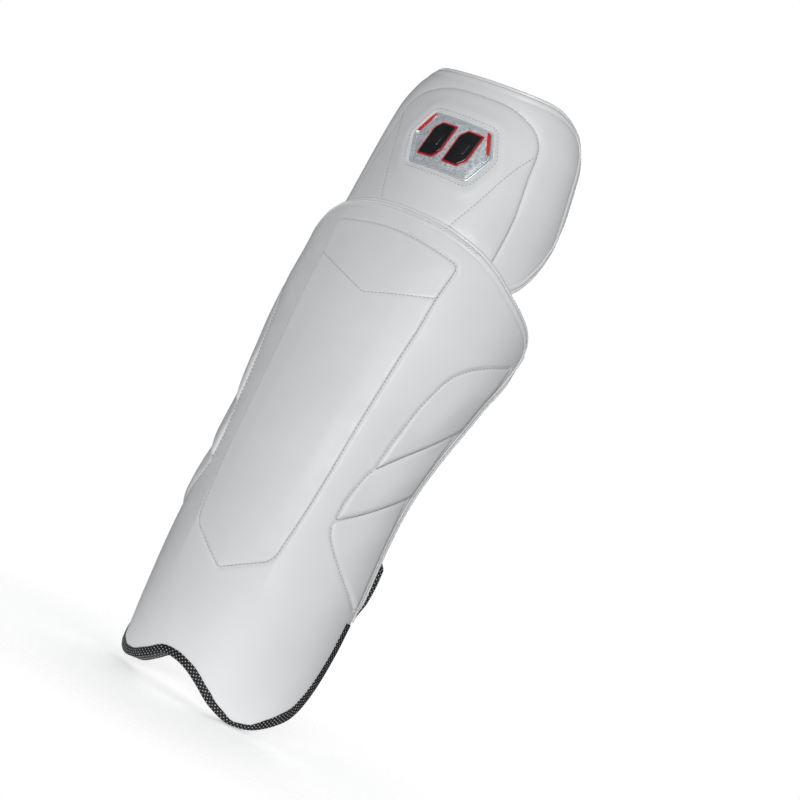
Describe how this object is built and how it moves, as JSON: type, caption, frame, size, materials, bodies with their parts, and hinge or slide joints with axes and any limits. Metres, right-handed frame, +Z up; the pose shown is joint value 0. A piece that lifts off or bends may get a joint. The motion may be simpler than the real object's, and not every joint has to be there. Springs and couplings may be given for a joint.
{
  "type": "cricket leg pad",
  "caption": "Wicket-keeping leg guard with a moulded shin face, a hinged knee cup, padded side wings and two hook-and-loop webbing straps through loop buckles.",
  "frame": {"origin": "on the leg's axis, level with the lowest edge of the pad", "axes": "+Z up the leg, -Y towards the front of the pad, +X to the side that the straps are sewn to"},
  "size_m": [0.2648, 0.1299, 0.6511],
  "materials": {
    "facing": "matte polyurethane facing over foam",
    "piping": "glossy rolled edge",
    "board": "plain sheet",
    "lining": "smooth woven lining",
    "mesh": "knitted mesh",
    "print": "printed knitted fabric",
    "trim": "woven mesh binding",
    "webbing": "striped woven webbing",
    "tape": "hook-and-loop tape",
    "buckle": "moulded, satin",
    "silver": "metallic gloss",
    "black": "gloss",
    "red": "gloss"
  },
  "bodies": {
    "shin": {"shin_face": "facing", "instep_trim": "trim", "knee_arc_piping": "piping", "right_side_piping": "piping", "left_side_piping": "piping", "shin_panel": "facing", "shin_cap_panel": "facing", "right_side_panel_upper": "facing", "left_side_panel_upper": "facing", "right_side_panel_middle": "facing", "left_side_panel_middle": "facing", "right_side_panel_lower": "facing", "left_side_panel_lower": "facing", "shin_stiffener": "board", "shin_lining": "lining", "right_leg_bolster": "mesh", "left_leg_bolster": "mesh", "centre_cushion": "print", "knee_hinge_tape": "lining"},
    "knee": {"knee_face": "facing", "knee_centre_panel": "facing", "right_knee_panel": "facing", "left_knee_panel": "facing", "knee_stiffener": "board", "knee_lining": "lining", "knee_cushion": "print", "knee_cushion_piping": "trim", "knee_rim_piping": "piping", "badge_plate": "silver", "badge_right_block": "black", "badge_left_block": "black", "badge_right_bar": "red", "badge_left_bar": "red"},
    "right_wing": {"right_wing": "lining", "right_wing_trim": "trim", "lower_strap_anchor": "webbing", "upper_strap_anchor": "webbing"},
    "left_wing": {"left_wing": "lining", "left_wing_trim": "trim", "lower_buckle_tab": "webbing", "upper_buckle_tab": "webbing"},
    "lower_strap": {"lower_strap": "webbing", "lower_loop_tape": "tape"},
    "upper_strap": {"upper_strap": "webbing", "upper_loop_tape": "tape"},
    "lower_tail": {"lower_strap_tail": "webbing", "lower_hook_tape": "tape"},
    "upper_tail": {"upper_strap_tail": "webbing", "upper_hook_tape": "tape"},
    "lower_buckle": {"lower_buckle": "buckle"},
    "upper_buckle": {"upper_buckle": "buckle"}
  },
  "joints": [
    {"name": "knee_flex", "type": "hinge", "parent": "shin", "child": "knee", "pos_m": [0, -0.046, 0.434], "axis": [-1, 0, 0], "range_deg": [0, 25], "stiffness_Nm_per_rad": 1.2},
    {"name": "wing_squeeze", "type": "hinge", "parent": "shin", "child": "right_wing", "pos_m": [0.07, -0.022, 0.28], "axis": [0, 0, 1], "range_deg": [0, 5], "stiffness_Nm_per_rad": 0.4},
    {"name": "left_wing_squeeze", "type": "hinge", "parent": "shin", "child": "left_wing", "pos_m": [-0.07, -0.022, 0.28], "axis": [0, 0, -1], "range_deg": [0, 5], "stiffness_Nm_per_rad": 0.4},
    {"name": "lower_strap_turn", "type": "hinge", "parent": "right_wing", "child": "lower_strap", "pos_m": [0.091, 0.0345, 0.178], "axis": [0, 0, -1], "range_deg": [0, 5]},
    {"name": "lower_buckle_turn", "type": "hinge", "parent": "left_wing", "child": "lower_buckle", "pos_m": [-0.09175, 0.03825, 0.178], "axis": [0, 0, 1], "range_deg": [0, 5]},
    {"name": "lower_tail_peel", "type": "hinge", "parent": "lower_strap", "child": "lower_tail", "pos_m": [-0.06265, 0.0429, 0.178], "axis": [0, 0, 1], "range_deg": [0, 120]},
    {"name": "upper_strap_turn", "type": "hinge", "parent": "right_wing", "child": "upper_strap", "pos_m": [0.111, 0.043, 0.385], "axis": [0, 0, -1], "range_deg": [0, 5]},
    {"name": "upper_buckle_turn", "type": "hinge", "parent": "left_wing", "child": "upper_buckle", "pos_m": [-0.11175, 0.04675, 0.385], "axis": [0, 0, 1], "range_deg": [0, 5]},
    {"name": "upper_tail_peel", "type": "hinge", "parent": "upper_strap", "child": "upper_tail", "pos_m": [-0.08265, 0.0514, 0.385], "axis": [0, 0, 1], "range_deg": [0, 120]}
  ],
  "couplings": [
    {"joint": "left_wing_squeeze", "follows": "wing_squeeze", "ratio": 1},
    {"joint": "lower_strap_turn", "follows": "wing_squeeze", "ratio": 1},
    {"joint": "lower_buckle_turn", "follows": "wing_squeeze", "ratio": 1},
    {"joint": "upper_strap_turn", "follows": "wing_squeeze", "ratio": 1},
    {"joint": "upper_buckle_turn", "follows": "wing_squeeze", "ratio": 1}
  ]
}
